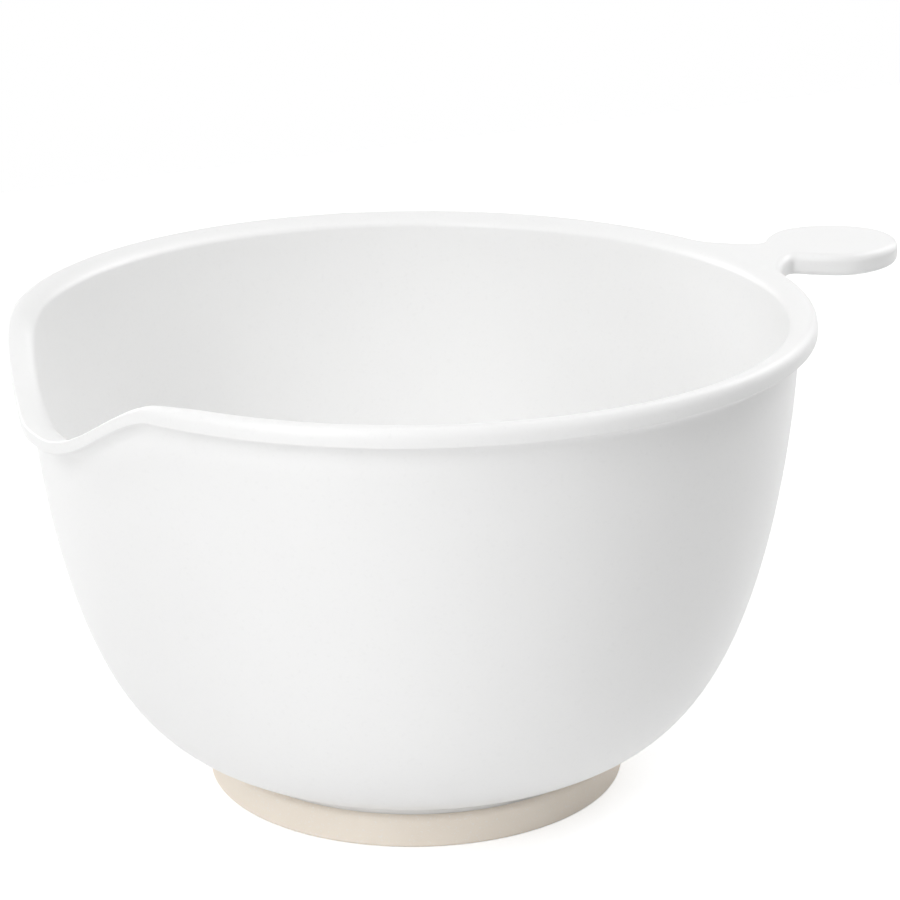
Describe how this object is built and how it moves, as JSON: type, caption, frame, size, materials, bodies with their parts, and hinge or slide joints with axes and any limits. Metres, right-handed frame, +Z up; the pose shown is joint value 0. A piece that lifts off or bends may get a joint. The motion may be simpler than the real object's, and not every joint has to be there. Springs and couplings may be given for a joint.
{
  "type": "mixing bowl",
  "caption": "Deep mixing bowl with an out-turned rim, a pouring spout dipping on one side, a flat tongue handle on the other and a non-slip rubber ring round its foot.",
  "frame": {"origin": "on the bowl's axis, in the plane that it rests on, the underside of the base ring", "axes": "+Z up along the bowl's axis, +X along the middle of the handle, -X through the middle of the spout, the two sides alike about Y = 0"},
  "size_m": [0.2982, 0.242, 0.1489],
  "materials": {
    "melamine": "smooth white moulded melamine with a soft gloss",
    "ring_rubber": "matte cream silicone rubber"
  },
  "bodies": {
    "root": {"bowl": "melamine", "base_ring": "ring_rubber"}
  },
  "joints": []
}
